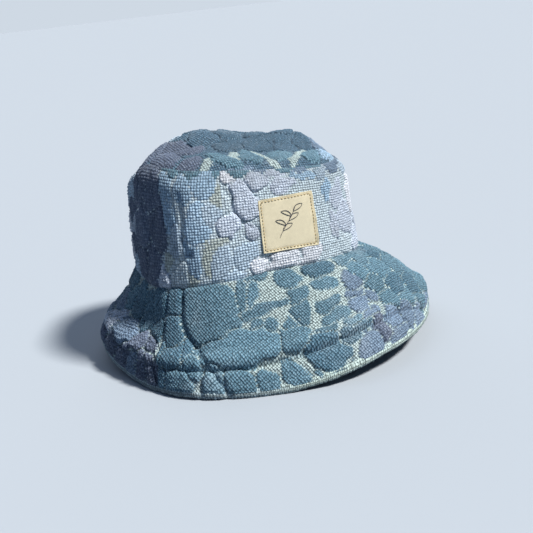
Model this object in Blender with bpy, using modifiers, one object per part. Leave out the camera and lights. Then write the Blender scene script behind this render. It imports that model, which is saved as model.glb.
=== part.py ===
"""Bucket hat sewn from sculpted terry towelling, standing on its brim with the label facing -Y.

Every layer is a surface swept round the head and given its own thickness, from the outside in:
terry, then lining and sweatband in the crown; terry, interlining and under brim in the brim.
"""

import math

import bmesh
import bpy

HEAD_RADIUS = 0.0980  # outside of the crown where the brim is sewn on
TIP_RADIUS = 0.0900  # outside of the crown at the seam of the flat top
BRIM_RADIUS = 0.1495  # mean radius of the brim's edge
BRIM_OVAL = 0.030  # the brim is this share longer front to back than its mean, and narrower across
HEAD_HEIGHT = 0.0770  # seam of crown and brim above the floor
HEAD_SADDLE = 0.0050  # the same seam rises this much at the front and back, and drops at the sides
TIP_HEIGHT = 0.1650  # centre of the flat top
TIP_TILT_SIDE = -0.095  # the top sinks towards the wearer's left side
TIP_TILT_FRONT = 0.045  # and towards the front
TIP_SHIFT = -0.0040  # sideways lean of the crown
TIP_DOME = 0.0030  # the middle of the top stands this much above its seam
SQUARE_TIP, SQUARE_HEAD, SQUARE_BRIM = 2.6, 2.35, 2.05  # 2 is a circle; more is squarer in plan
BRIM_BULGE = 0.0035  # the brim is slightly domed between its two edges

TERRY = 0.0040
UNDER_BRIM = 0.0030
INTERLINING = 0.0008
LINING = 0.0008
SWEATBAND = 0.0012
SWEATBAND_WIDTH = 0.0280
GAP = 0.0004  # clearance between neighbouring pieces
LAYER_GAP = 0.0006
LINING_START = 0.0010  # the lining and the sweatband begin this far above the head seam

EDGE_ROLL = 0.0062  # height of the rolled edge that the hat stands on
EDGE_FOOT = 0.0006  # the flat underneath of that edge runs this far past the brim's own end
EDGE_SWELL = 0.0022  # and its outer face this far
EDGE_STEP = 0.0012  # height of the slope between the two
BAND_SEAM = math.radians(90)  # side seams of the crown
BRIM_SEAM = math.radians(62)  # brim seams, turned forward on the wearer's right

LABEL_SIDE = 0.0470
LABEL_STEPS = 8
LABEL_ABOVE_SEAM = 0.0160
LABEL_THICK = 0.0010
STITCH_INSET = 0.0028
STITCH_RADIUS = 0.00035
TAG_WIDTH, TAG_HEIGHT, TAG_THICK = 0.0220, 0.0260, 0.0007

STEPS = 64  # segments round the hat
SQUARE_TO_MEAN = 0.09  # a squarer outline reaches further, so it is drawn in by this much a unit of power


def outline(angle, power):
    """Radius factor of a rounded square at an angle from the front, with a mean of about 1."""
    side = abs(math.cos(angle)) ** power + abs(math.sin(angle)) ** power
    return side ** (-1 / power) * (1 - SQUARE_TO_MEAN * (power - 2))


def ray(angle, radius, height, shift=0.0):
    """A point at an angle from the front (-Y), turning towards +X."""
    return (radius * math.sin(angle) + shift, -radius * math.cos(angle), height)


def head_edge(angle):
    """Radius and height of the seam between the crown and the brim."""
    return (
        HEAD_RADIUS * outline(angle, SQUARE_HEAD),
        HEAD_HEIGHT + HEAD_SADDLE * math.cos(2 * angle),
    )


def tip_height(angle, radius):
    x, y, _ = ray(angle, radius, 0.0)
    return TIP_HEIGHT + TIP_TILT_SIDE * x + TIP_TILT_FRONT * y


def band_point(angle, height, depth):
    """A point of the crown's side, at a height above the head seam and a depth under the surface."""
    radius, base = head_edge(angle)
    tip_radius = TIP_RADIUS * outline(angle, SQUARE_TIP)
    top = tip_height(angle, tip_radius)
    share = height / (top - base)
    return ray(angle, radius + (tip_radius - radius) * share - depth, base + height, TIP_SHIFT * share)


def band_top(angle):
    """How far the tip seam stands above the head seam."""
    return tip_height(angle, TIP_RADIUS * outline(angle, SQUARE_TIP)) - head_edge(angle)[1]


def brim_section(angle):
    """The brim's upper and lower end, radius and height, and its downward slope."""
    radius, height = head_edge(angle)
    oval = 1 + BRIM_OVAL * math.cos(2 * angle)
    far = BRIM_RADIUS * oval * outline(angle, SQUARE_BRIM)
    slope = math.atan2(height - EDGE_ROLL, far - radius)
    return radius, height, far, slope


def brim_point(angle, share, depth, clear=0.0):
    """A point between the head seam (share 0) and the rolled edge (share 1), under the upper face."""
    radius, height, far, slope = brim_section(angle)
    rise = BRIM_BULGE * math.sin(math.pi * share) - depth
    along = clear * (1 - 2 * share)
    return ray(
        angle,
        radius + (far - radius) * share + rise * math.sin(slope) + along * math.cos(slope),
        height + (EDGE_ROLL - height) * share + rise * math.cos(slope) - along * math.sin(slope),
    )


def angles_between(first, last, trim):
    """Equal steps of the hat's own division between two seams, trimmed back by an angle at each."""
    step = 2 * math.pi / STEPS
    inner = [k * step for k in range(-STEPS, STEPS + 1) if first + step / 3 < k * step < last - step / 3]
    return [first + trim, *inner, last - trim]


def full_turn():
    return [2 * math.pi * k / STEPS for k in range(STEPS)]


def material(name, colour, roughness):
    made = bpy.data.materials.new(name)
    made.use_nodes = True
    shader = made.node_tree.nodes["Principled BSDF"]
    shader.inputs["Base Color"].default_value = (*colour, 1.0)
    shader.inputs["Roughness"].default_value = roughness
    shader.inputs["Metallic"].default_value = 0.0
    return made


def add_object(name, mesh, look, smooth=True):
    mesh.materials.append(look)
    for face in mesh.polygons:
        face.use_smooth = smooth
    made = bpy.data.objects.new(name, mesh)
    bpy.data.collections["bucket_hat"].objects.link(made)
    return made


def grid_mesh(name, rows, closed):
    """A mesh of quads over rows of points, each row running round the hat."""
    mesh = bpy.data.meshes.new(name)
    count = len(rows[0])
    points = [point for row in rows for point in row]
    last = count if closed else count - 1
    faces = [
        (r * count + k, r * count + (k + 1) % count, (r + 1) * count + (k + 1) % count, (r + 1) * count + k)
        for r in range(len(rows) - 1)
        for k in range(last)
    ]
    mesh.from_pydata(points, [], faces)
    mesh.update()
    return mesh


def shell(name, rows, thick, look, closed=False):
    """A swept surface given its thickness on the inner side. Rows run from the bottom up."""
    made = add_object(name, grid_mesh(name, rows, closed), look)
    solid = made.modifiers.new("thickness", "SOLIDIFY")
    solid.thickness = thick
    solid.offset = -1.0
    solid.use_even_offset = True
    return made


def band_shell(name, angles, low, high_cut, depth, thick, look, closed=False, rows=4):
    """A layer of the crown's side, from low above the head seam to high_cut under the tip seam."""
    grid = [
        [
            band_point(a, low + (band_top(a) - high_cut - low) * r / (rows - 1), depth)
            for a in angles
        ]
        for r in range(rows)
    ]
    return shell(name, grid, thick, look, closed)


def strip_shell(name, angles, low, high, depth, thick, look, closed=False, rows=3):
    """A layer of the crown's side between two heights above the head seam."""
    grid = [
        [band_point(a, low + (high - low) * r / (rows - 1), depth) for a in angles]
        for r in range(rows)
    ]
    return shell(name, grid, thick, look, closed)


def brim_shell(name, angles, depth, thick, look, rows=6):
    grid = [
        [brim_point(a, 1 - r / (rows - 1), depth, GAP) for a in angles]
        for r in range(rows)
    ]
    return shell(name, grid, thick, look)


def tip_disc(name, drop, inset, thick, look, rings=5):
    """The crown's flat top, lying a drop under its seam height and a step inside its outline."""
    mesh = bpy.data.meshes.new(name)
    build = bmesh.new()
    rows = []
    for ring in range(1, rings + 1):
        share = ring / rings
        row = []
        for angle in full_turn():
            radius = (TIP_RADIUS * outline(angle, SQUARE_TIP) - inset) * share
            lift = TIP_DOME * (1 - share**2) - drop
            row.append(build.verts.new(ray(angle, radius, tip_height(angle, radius) + lift, TIP_SHIFT)))
        rows.append(row)
    centre = build.verts.new(ray(0.0, 0.0, TIP_HEIGHT + TIP_DOME - drop, TIP_SHIFT))
    for k in range(STEPS):
        after = (k + 1) % STEPS
        build.faces.new((centre, rows[0][k], rows[0][after]))
        for inner, outer in zip(rows, rows[1:]):
            build.faces.new((inner[k], outer[k], outer[after], inner[after]))
    build.to_mesh(mesh)
    build.free()
    made = add_object(name, mesh, look)
    solid = made.modifiers.new("thickness", "SOLIDIFY")
    solid.thickness = thick
    solid.offset = -1.0
    return made


def rolled_edge(name, look):
    """The rolled edge round the brim: slanting against the layers above it, flat where it stands."""
    stack = TERRY + INTERLINING + UNDER_BRIM + 2 * LAYER_GAP
    sections = []
    for angle in full_turn():
        _, _, far, slope = brim_section(angle)
        out, down = math.cos(slope), math.sin(slope)
        near = far - stack * down + GAP * out
        corner = EDGE_ROLL - stack * out - GAP * down
        profile = [
            (far + 2 * GAP * out, EDGE_ROLL - 2 * GAP * down),
            (near, max(corner - GAP, GAP)),
            (near + GAP, 0.0),
            (far + EDGE_FOOT, 0.0),
            (far + EDGE_SWELL, EDGE_STEP),
            (far + EDGE_SWELL, EDGE_ROLL - EDGE_SWELL),
        ]
        sections.append([ray(angle, radius, height) for radius, height in profile])
    mesh = bpy.data.meshes.new(name)
    build = bmesh.new()
    rings = [[build.verts.new(point) for point in section] for section in sections]
    corners = len(rings[0])
    for k, ring in enumerate(rings):
        after = rings[(k + 1) % len(rings)]
        for c in range(corners):
            d = (c + 1) % corners
            build.faces.new((ring[c], ring[d], after[d], after[c]))
    bmesh.ops.recalc_face_normals(build, faces=build.faces)
    build.to_mesh(mesh)
    build.free()
    return add_object(name, mesh, look, smooth=False)


def label_point(across, up, outside):
    """A point over the label's middle: distances across and up, and height off the crown's side."""
    angle = across / HEAD_RADIUS
    return band_point(angle, LABEL_ABOVE_SEAM + LABEL_SIDE / 2 + up, -outside)


def label_patch(look):
    half = LABEL_SIDE / 2
    stops = [-half + LABEL_SIDE * k / LABEL_STEPS for k in range(LABEL_STEPS + 1)]
    grid = [[label_point(x, y, GAP + LABEL_THICK) for x in stops] for y in stops]
    return shell("label_patch", grid, LABEL_THICK, look)


def label_stitching(look):
    """One ring of thread a little inside the label's edge."""
    half = LABEL_SIDE / 2 - STITCH_INSET
    run = [-half + 2 * half * k / LABEL_STEPS for k in range(LABEL_STEPS)]
    square = [(x, -half) for x in run] + [(half, y) for y in run]
    square += [(-x, half) for x in run] + [(-half, -y) for y in run]
    curve = bpy.data.curves.new("label_stitching", "CURVE")
    curve.dimensions = "3D"
    curve.bevel_depth = STITCH_RADIUS
    curve.bevel_resolution = 1
    line = curve.splines.new("POLY")
    line.points.add(len(square) - 1)
    off = GAP + LABEL_THICK + GAP + STITCH_RADIUS
    for point, (x, y) in zip(line.points, square):
        point.co = (*label_point(x, y, off), 1.0)
    line.use_cyclic_u = True
    curve.materials.append(look)
    made = bpy.data.objects.new("label_stitching", curve)
    bpy.data.collections["bucket_hat"].objects.link(made)
    return made


def crown(looks):
    first, last = BAND_SEAM, 2 * math.pi - BAND_SEAM
    trim = GAP / 2 / HEAD_RADIUS
    front = angles_between(-first, first, trim)
    rear = angles_between(first, last, trim)
    inside = TERRY + LAYER_GAP
    for side, angles in (("front", front), ("rear", rear)):
        band_shell(f"side_band_{side}_outer", angles, GAP / 2, TERRY + GAP, 0.0, TERRY, looks["terry"])
        band_shell(
            f"lining_side_{side}",
            angles,
            LINING_START,
            inside + LINING + 3 * GAP,
            inside,
            LINING,
            looks["lining"],
        )
    tip_disc("crown_tip_outer", 0.0, 0.0, TERRY, looks["terry_tip"])
    tip_disc("lining_tip", inside, inside, LINING, looks["lining"])
    deep = inside + LINING + LAYER_GAP
    strip_shell(
        "sweatband",
        full_turn(),
        LINING_START,
        SWEATBAND_WIDTH,
        deep,
        SWEATBAND,
        looks["sweatband"],
        closed=True,
    )
    half = TAG_WIDTH / 2 / HEAD_RADIUS
    tag = [math.pi - half + 2 * half * k / 4 for k in range(5)]
    low = SWEATBAND_WIDTH + LINING_START
    strip_shell("size_tag_blank", tag, low, low + TAG_HEIGHT, deep, TAG_THICK, looks["tag"])


def brim(looks):
    first = BRIM_SEAM
    trim = GAP / 2 / HEAD_RADIUS
    front = angles_between(-first, math.pi - first, trim)
    rear = angles_between(math.pi - first, 2 * math.pi - first, trim)
    middle = TERRY + LAYER_GAP
    under = middle + INTERLINING + LAYER_GAP
    for side, angles in (("front", front), ("rear", rear)):
        brim_shell(f"brim_upper_{side}", angles, 0.0, TERRY, looks["terry_brim"])
        brim_shell(f"brim_interlining_{side}", angles, middle, INTERLINING, looks["interlining"])
        brim_shell(f"brim_under_{side}", angles, under, UNDER_BRIM, looks["terry_under"])
    rolled_edge("brim_edge_roll", looks["edge"])


def main():
    for old in list(bpy.data.objects):
        bpy.data.objects.remove(old)
    kept = bpy.data.collections.new("bucket_hat")
    bpy.context.scene.collection.children.link(kept)
    looks = {
        "terry": material("terry_lavender_blue", (0.36, 0.44, 0.55), 0.95),
        "terry_tip": material("terry_slate_blue", (0.15, 0.24, 0.31), 0.95),
        "terry_brim": material("terry_teal_blue", (0.14, 0.25, 0.33), 0.95),
        "terry_under": material("terry_mint_under", (0.42, 0.52, 0.53), 0.95),
        "edge": material("terry_mint_edge", (0.52, 0.60, 0.58), 0.95),
        "interlining": material("woven_interlining", (0.80, 0.80, 0.78), 0.9),
        "lining": material("cotton_lining", (0.78, 0.75, 0.68), 0.85),
        "sweatband": material("cotton_sweatband", (0.70, 0.67, 0.60), 0.8),
        "label": material("label_cream_cotton", (0.80, 0.73, 0.56), 0.8),
        "thread": material("label_thread", (0.72, 0.58, 0.32), 0.6),
        "tag": material("tag_white_ribbon", (0.85, 0.85, 0.83), 0.6),
    }
    crown(looks)
    brim(looks)
    label_patch(looks["label"])
    label_stitching(looks["thread"])


main()
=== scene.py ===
"""Looks of the terry bucket hat: sculpted jacquard panels, lining, label, camera, light and floor.

Panels are fine grids over the hat's own surface. An angle runs from the front (-Y) towards +X,
and a share runs up the crown's side or down the brim. Raised leaves are worked out in millimetres.
"""

import math

import bpy
import numpy as np
from mathutils import Matrix, Vector


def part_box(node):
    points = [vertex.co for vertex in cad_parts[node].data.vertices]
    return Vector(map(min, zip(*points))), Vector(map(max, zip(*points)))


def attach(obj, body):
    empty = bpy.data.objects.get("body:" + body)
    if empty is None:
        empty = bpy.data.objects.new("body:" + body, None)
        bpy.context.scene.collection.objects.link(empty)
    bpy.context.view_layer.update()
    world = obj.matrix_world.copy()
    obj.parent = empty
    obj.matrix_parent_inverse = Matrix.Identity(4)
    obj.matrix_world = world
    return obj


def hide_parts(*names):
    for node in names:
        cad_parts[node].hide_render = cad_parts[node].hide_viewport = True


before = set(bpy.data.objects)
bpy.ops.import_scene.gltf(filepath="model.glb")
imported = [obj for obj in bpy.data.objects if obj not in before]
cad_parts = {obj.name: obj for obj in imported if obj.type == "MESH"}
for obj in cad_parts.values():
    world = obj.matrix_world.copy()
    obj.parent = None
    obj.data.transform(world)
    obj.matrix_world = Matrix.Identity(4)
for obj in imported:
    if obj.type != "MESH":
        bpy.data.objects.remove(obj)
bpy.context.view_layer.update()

MM = 0.001


def half_size(node, axis):
    low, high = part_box(node)
    return (high[axis] - low[axis]) / 2


def top_of(node):
    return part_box(node)[1][2]


# Driving sizes, taken from the frame.
EDGE_HALF = 2.4 * MM  # half the thickness of the turned edge
BRIM_X = half_size("brim_edge_roll", 0) - EDGE_HALF
BRIM_Y = half_size("brim_edge_roll", 1) - EDGE_HALF
HEAD_RADIUS = half_size("side_band_front_outer", 0) * 1.030
TIP_RADIUS = half_size("crown_tip_outer", 0) * 1.040
HEAD_HEIGHT = top_of("brim_upper_front") - 4.0 * MM
TIP_HEIGHT = top_of("crown_tip_outer") - 9.0 * MM
CROWN_RISE = TIP_HEIGHT - HEAD_HEIGHT
BRIM_RUN = math.hypot(BRIM_Y - HEAD_RADIUS, HEAD_HEIGHT - 8 * MM)
BRIM_LEAN = (BRIM_Y - HEAD_RADIUS) / BRIM_RUN  # the share of the brim's run that goes outwards

# The crown sits to the wearer's right of the brim's middle; these are the middles of its rings.
HEAD_SHIFT, TIP_SHIFT, BRIM_SHIFT = -3.5 * MM, -4.0 * MM, 8.0 * MM
SQUARE_TIP, SQUARE_HEAD, SQUARE_BRIM = 3.2, 2.6, 2.05
WAVE = 9.0 * MM  # the brim's edge rises and falls by this much
QUARTER = math.radians(90)
BRIM_SEAM = math.radians(62)
CORNER_TURN = math.radians(6)  # the crown's corners sit this much further round than its diagonals
BULGE = 1.8 * MM  # of the crown's side, half way up
ROLL_START = 0.82  # share from which a panel rolls over into the top's seam
SEAM_TUCK = 0.035  # share over which cloth is drawn in at the head seam
PANEL_THICK = 2.6 * MM
LINING_THICK = 0.4 * MM
SEAM_GAP, UNDER_GAP, LINING_GAP = 0.0018, 0.0022, 0.004  # half the space at a side seam, in radians
STITCH_ROWS = 9 * MM  # spacing of the rows of stitches under the brim
LOOP, FINE_LOOP = 2.2 * MM, 2.0 * MM  # spacing of the towelling's loops on the crown and elsewhere
JITTER = 0.34  # how far a loop may stand off the weave's grid, as a share of its pitch

LABEL_MIDDLE = math.radians(0.7)
LABEL_SHARE = 0.455
LABEL_HALF = half_size("label_patch", 2)
LABEL_LEAN, LABEL_RISE = 0.036, 0.035  # the label is sewn on a little askew
LABEL_LIFT = 1.2 * MM
LABEL_RADIUS = HEAD_RADIUS * 0.965  # the crown's radius behind the label
STITCH_INSET = 2.2 * MM

SKY_STRENGTH = 0.23
FLOOR_COLOUR = (180, 188, 196)


def srgb(red, green, blue):
    """Linear colour of an sRGB triple given from 0 to 255."""
    value = np.array([red, green, blue], float) / 255
    return np.where(value <= 0.04045, value / 12.92, ((value + 0.055) / 1.055) ** 2.4)


# Each yarn's dye, and how shaggy its pile is: 0 for flat weave and small loops, 1 for long worn loops.
YARNS = {
    "mint": ((180, 199, 199), 0.0),
    "ice": ((192, 209, 218), 0.0),
    "cream": ((180, 192, 188), 0.0),
    "teal": ((106, 142, 160), 0.45),
    "deep": ((92, 128, 148), 0.5),
    "slate": ((84, 113, 134), 0.6),
    "blue": ((160, 190, 214), 0.0),
    "peri": ((184, 206, 224), 0.1),
    "lilac": ((194, 206, 222), 1.0),
    "white": ((220, 226, 235), 1.0),
    # A lilac darkened as painted shade, for petals on the side of the hat away from the light and under
    # folds.
    "dusk": ((107, 120, 142), 1.0),
    "haze": ((125, 148, 172), 0.8),
}
DYES = {name: srgb(*colour) for name, (colour, _) in YARNS.items()}
SHAG = {name: shag for name, (_, shag) in YARNS.items()}


def detail(full, quick):
    return full


# ---------------------------------------------------------------- shape of the hat


def rounded_square(angle, power):
    """Radius factor of a rounded square whose mean radius is 1."""
    turn = np.linspace(0, 2 * math.pi, 721)[:-1]

    def raw(a):
        return (np.abs(np.cos(a)) ** power + np.abs(np.sin(a)) ** power) ** (-1 / power)

    return raw(angle) / raw(turn).mean()


def smooth(value, low, high):
    t = np.clip((value - low) / (high - low), 0, 1)
    return t * t * (3 - 2 * t)


def bell(value, middle, width):
    return np.exp(-(((value - middle) / width) ** 2))


def turned(angle):
    """The angle brought between minus and plus half a turn."""
    return (angle + math.pi) % (2 * math.pi) - math.pi


def bell_angle(angle, middle_deg, width_deg):
    return bell(turned(angle - math.radians(middle_deg)), 0.0, math.radians(width_deg))


def ray(angle, radius, height, shift):
    return np.stack([radius * np.sin(angle) + shift, -radius * np.cos(angle), height + 0 * angle], -1)


def direction(azimuth, elevation):
    """Unit vector from the hat towards a place round it; azimuth 0 is in front."""
    flat = math.cos(elevation)
    return Vector((math.sin(azimuth) * flat, -math.cos(azimuth) * flat, math.sin(elevation)))


def head_ring(angle):
    radius = HEAD_RADIUS * rounded_square(angle + CORNER_TURN, SQUARE_HEAD)
    radius = radius * (1 - 0.013 * np.sin(2 * angle))
    height = HEAD_HEIGHT + (4.6 * np.cos(2 * angle) + 0.7 * np.cos(angle) - 0.8 * np.sin(2 * angle)) * MM
    return radius, height


# Where the top's seam sinks: millimetres (negative where it stands up), then place and width in degrees.
SLUMPS = ((20.0, -126, 28), (-8.0, 180, 36), (-11.0, 100, 26))


def tip_ring(angle):
    radius = TIP_RADIUS * rounded_square(angle + CORNER_TURN, SQUARE_TIP) * (1 + 0.010 * np.sin(2 * angle))
    radius = radius + 3.0 * MM * bell_angle(angle, -112, 26)
    slump = sum(depth * bell_angle(angle, at, width) for depth, at, width in SLUMPS)
    height = TIP_HEIGHT - (4.3 * np.cos(angle) + 9.0 * np.sin(angle) + slump) * MM
    return radius, height


def edge_ring(angle):
    oval = 1 / np.sqrt((np.sin(angle) / BRIM_X) ** 2 + (np.cos(angle) / BRIM_Y) ** 2)
    ripple = 1.2 * np.sin(5 * angle + 0.6) + 0.9 * np.sin(8 * angle + 2.0)
    radius = oval * rounded_square(angle, SQUARE_BRIM) + ripple * MM
    lift = WAVE * (1 + np.sin(2 * angle)) + (1.0 + np.sin(7 * angle + 1.0)) * 0.8 * MM
    return radius, lift + 4.2 * MM


def crease(angle, share, path, width, radius, run):
    """A bell that follows a line of places (degrees, share) over a panel; lengths are in metres."""
    nearest = np.full(np.broadcast(angle, share).shape, 1.0)
    for (first, low), (last, high) in zip(path, path[1:]):
        along = np.array([math.radians(last - first) * radius, (high - low) * run])
        across = turned(angle - math.radians(first)) * radius
        away = np.stack([across + 0 * share, (share - low) * run + 0 * angle], -1)
        step = np.clip(away @ along / (along @ along), 0, 1)
        nearest = np.minimum(nearest, np.linalg.norm(away - step[..., None] * along, axis=-1))
    return bell(nearest, 0.0, width)


def folded(angle, share, swells, creases, radius, run):
    """A panel's swellings and dents less its creases, in millimetres outwards."""
    middle = np.sin(math.pi * np.clip(share, 0, 1))
    out = sum(
        amount * bell_angle(angle, at, width) * (bell(share, *where) if where else middle)
        for amount, at, width, *where in swells
    )
    for path, depth, width in creases:
        out = out - depth * crease(angle, share, path, width * MM, radius, run)
    return out


# Soft dents (negative) and swellings of the crown's side: millimetres, place and width in degrees, then
# the middle and width of the share they lie at, or nothing where they are fullest half way up.
CROWN_SWELLS = (
    (-2.6, -66, 12), (-2.0, -100, 14), (-5.0, 72, 32, 0.48, 0.30), (1.6, -83, 7), (-1.8, 30, 12, 0.55, 0.3),
    (1.6, 55, 10), (-2.4, 150, 16), (2.0, 178, 12), (-2.2, -150, 12, 0.6, 0.3),
)  # fmt: skip
# Creases of the crown's side: place, then depth and half-width in millimetres.
CROWN_CREASES = (
    (((-51, 0.80), (-50, 0.60), (-51, 0.42), (-48, 0.26)), 1.5, 2.0),
    (((-61, 0.10), (-52, 0.24), (-47, 0.30)), 1.6, 2.2),
    (((-86, 0.75), (-80, 0.60), (-75, 0.42), (-77, 0.22), (-82, 0.08)), 2.2, 3.4),
    (((-72, 0.92), (-68, 0.70), (-70, 0.52)), 1.2, 3.0),
    (((-66, 0.86), (-80, 0.80), (-92, 0.86)), 1.4, 3.0),
    (((-30, 0.84), (-26, 0.72), (-25, 0.62), (-21, 0.50), (-16, 0.43)), 1.2, 1.8),
    (((23, 0.74), (25, 0.50), (26, 0.30), (30, 0.08)), 0.9, 1.8),
    (((100, 0.9), (106, 0.5), (100, 0.1)), 2.0, 4.0),
    (((150, 0.2), (162, 0.5), (154, 0.9)), 2.0, 4.0),
    (((-150, 0.9), (-140, 0.5), (-146, 0.1)), 2.0, 4.0),
)


def crown_folds(angle, share):
    """How far the crown's side stands out of its plain shape, in metres."""
    out = folded(angle, share, CROWN_SWELLS, CROWN_CREASES, HEAD_RADIUS, CROWN_RISE)
    corner = 2.2 * bell_angle(angle, -45, 9) * (0.4 + 0.6 * share)
    ripple = np.sin(9 * angle + 4 * share) * 0.5 * bell(share, 0.05, 0.12)
    return (out + corner + ripple) * MM


def crown_slope(angle, share):
    """Radius, height and shift of the crown's side before its folds and its roll."""
    low_radius, low = head_ring(angle)
    high_radius, high = tip_ring(angle)
    radius = low_radius + (high_radius - low_radius) * share + BULGE * np.sin(math.pi * share)
    return radius, low + (high - low) * share, HEAD_SHIFT + (TIP_SHIFT - HEAD_SHIFT) * share


def band_surface(angle, share):
    """The crown's side, from the head seam (0) to the tip seam (1), rolling in at the top."""
    radius, height, shift = crown_slope(angle, share)
    roll = np.clip((share - ROLL_START) / (1 - ROLL_START), 0, 1)
    tuck = np.clip((SEAM_TUCK - share) / SEAM_TUCK, 0, 1)
    radius = radius - 6.6 * MM * roll**2 - 1.0 * MM * tuck**2
    return ray(angle, radius + crown_folds(angle, share) * (1 - roll), height - 1.4 * MM * roll**2, shift)


# Swellings and creases of the brim, in the same terms.
BRIM_SWELLS = (
    (8.0, 66, 30), (4.0, 32, 26, 0.42, 0.24), (-7.5, -86, 26, 0.33, 0.22), (4.5, -82, 34, 0.74, 0.16),
    (3.4, -38, 9), (6.0, 160, 30), (-3.5, -150, 24),
)  # fmt: skip
BRIM_CREASES = (
    (((-53.5, 0), (-54, 0.18), (-52.5, 0.34), (-49.5, 0.50), (-46, 0.60), (-43, 0.72), (-37, 1)), 2.6, 2.6),
    (((-80, 0.42), (-80, 0.70), (-82, 1.0)), 1.8, 2.4),
    (((-66, 0.55), (-64, 0.80), (-62, 1.0)), 2.0, 2.4),
    (((-44, 0.78), (-45, 1.0)), 1.5, 2.0),
    (((58, 0.18), (68, 0.50), (62, 0.75)), 1.8, 4.0),
    (((-36, 0.42), (-24, 0.34), (-10, 0.30)), 0.9, 2.4),
    (((2, 0.49), (12, 0.48), (22, 0.44)), 1.2, 2.2),
)


def brim_lift(angle, share):
    """How far the brim stands off a straight slope: the fold near the edge, and the waves."""
    degrees = np.degrees(turned(angle))
    # The fold runs level round the front, then swings out to the edge on the wearer's left.
    at = 0.755 + 0.035 * smooth(-degrees, 8, 40) + 0.20 * smooth(degrees, 24, 48)
    over = 5.6 * bell(share, at - 0.065, 0.080) - 3.4 * bell(share, at + 0.022, 0.026)
    out = (over + 1.2 * bell(share, 0.87, 0.06)) * (0.30 + 0.70 * bell_angle(angle, 0, 58))
    out = out + folded(angle, share, BRIM_SWELLS, BRIM_CREASES, (HEAD_RADIUS + BRIM_Y) / 2, BRIM_RUN)
    middle = np.sin(math.pi * np.clip(share, 0, 1))
    out = out + 3.0 * middle * bell_angle(angle, -60, 7) * bell(share, 0.2, 0.3)
    out = out + 3.0 * np.sin(6 * angle) * bell(share, 0.9, 0.2)
    return out * MM


def brim_slope(angle):
    """Slope of the brim at each angle, with the two rings it runs between."""
    near, high = head_ring(angle)
    far, low = edge_ring(angle)
    return np.arctan2(high - low, far - near), (near, far), (high, low)


def brim_surface(angle, share):
    """The brim's upper face, from the head seam (0) to the edge (1)."""
    slope, (near, far), (high, low) = brim_slope(angle)
    tuck = np.clip((SEAM_TUCK - share) / SEAM_TUCK, 0, 1)
    lift = brim_lift(angle, share) - 1.0 * MM * tuck**2
    radius = near + (far - near) * share + lift * np.sin(slope)
    height = high + (low - high) * share + lift * np.cos(slope)
    return ray(angle, radius, height, HEAD_SHIFT + (BRIM_SHIFT - HEAD_SHIFT) * share)


def under_brim(angle, share, depth):
    """A point under the brim's upper face by a depth, without its sculpted relief."""
    slope, _, _ = brim_slope(angle)
    down = np.stack([-np.sin(slope) * np.sin(angle), np.sin(slope) * np.cos(angle), -np.cos(slope)], -1)
    return brim_surface(angle, share) + down * np.asarray(depth)[..., None]


def square_over_tip(count):
    """Angle and share of radius of a square grid of points laid over the rounded top."""
    steps = np.linspace(-1, 1, count)
    across, along = np.meshgrid(steps, steps)
    x = across * np.sqrt(1 - along**2 / 2)
    y = along * np.sqrt(1 - across**2 / 2)
    return np.arctan2(x, -y), np.hypot(x, y)


def tip_surface(angle, share):
    """The flat top, slightly domed and slack, rolling down to its seam."""
    radius, height = tip_ring(angle)
    sag = 2.6 * bell_angle(angle, -110, 40) * bell(share, 0.65, 0.25)
    sag = sag + 2.2 * bell_angle(angle, 40, 45) * bell(share, 0.6, 0.3)
    dome = 7.0 * (1 - share**3) - sag + 1.0 * bell(share, 0.86, 0.07)
    roll = np.clip((share - ROLL_START) / (1 - ROLL_START), 0, 1)
    height = TIP_HEIGHT + (height - TIP_HEIGHT) * share + dome * MM - 4.0 * MM * roll**2
    return ray(angle, (radius - 5.2 * MM) * share, height + 1.0 * MM, TIP_SHIFT)


# ---------------------------------------------------------------- woven pattern


class Motifs:
    """Raised leaves and petals over a panel. Places are an angle in degrees and a share."""

    def __init__(self, ground, grow, line):
        self.ground = ground
        self.grow = grow * MM  # leaves spread this far, until they meet a neighbour
        self.line = line * MM  # half the width of the ground left showing between neighbours
        self.shapes = []

    def leaf(self, at, share, length, width, lean, dye, rise, blunt=0.5, ribs=0.0):
        """A leaf: place, size in millimetres, lean in degrees, dye, and how far it stands up."""
        self.shapes.append((at, share, length, width, lean, dye, rise, ribs, blunt))

    def leaves(self, rows, spread=lambda at, share: 1.0):
        """A table of leaves; spread says how much larger to make the one at a place."""
        for at, share, length, width, *rest in rows:
            factor = spread(at, share)
            self.leaf(at, share, length * factor, width * factor, *rest)

    def rosette(self, at, share, reach, count, dye, rise):
        """Petals round a middle, the last ones overlapping the first."""
        out = reach * 0.52 * MM
        for k in range(count):
            turn = 360 * k / count + 20
            across, up = out * math.cos(math.radians(turn)), out * math.sin(math.radians(turn))
            place = (at + math.degrees(across / HEAD_RADIUS), share + up / CROWN_RISE)
            self.leaf(*place, reach * 0.95, reach * 0.72, turn, dye, rise)
        self.leaf(at, share, reach * 0.5, reach * 0.5, 0, "white", rise * 1.2)

    def scatter(self, first, last, seed, dyes, size):
        """Leaves strewn over a stretch of the panel, between two angles in degrees."""
        random = np.random.default_rng(seed)
        step = math.degrees(size * 0.80 * MM / HEAD_RADIUS)
        for row, share in enumerate((0.16, 0.5, 0.84)):
            at = first + step * (0.5 if row % 2 else 0.15)
            while at < last:
                self.leaf(
                    at + random.uniform(-0.2, 0.2) * step,
                    share + random.uniform(-0.06, 0.06),
                    size * random.uniform(1.05, 1.55),
                    size * random.uniform(0.62, 0.92),
                    random.uniform(-80, 80),
                    dyes[int(random.integers(len(dyes)))],
                    random.uniform(1.3, 2.4),
                    0.75,
                    float(random.random() < 0.25),
                )
                at += step * random.uniform(0.8, 1.15)


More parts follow.
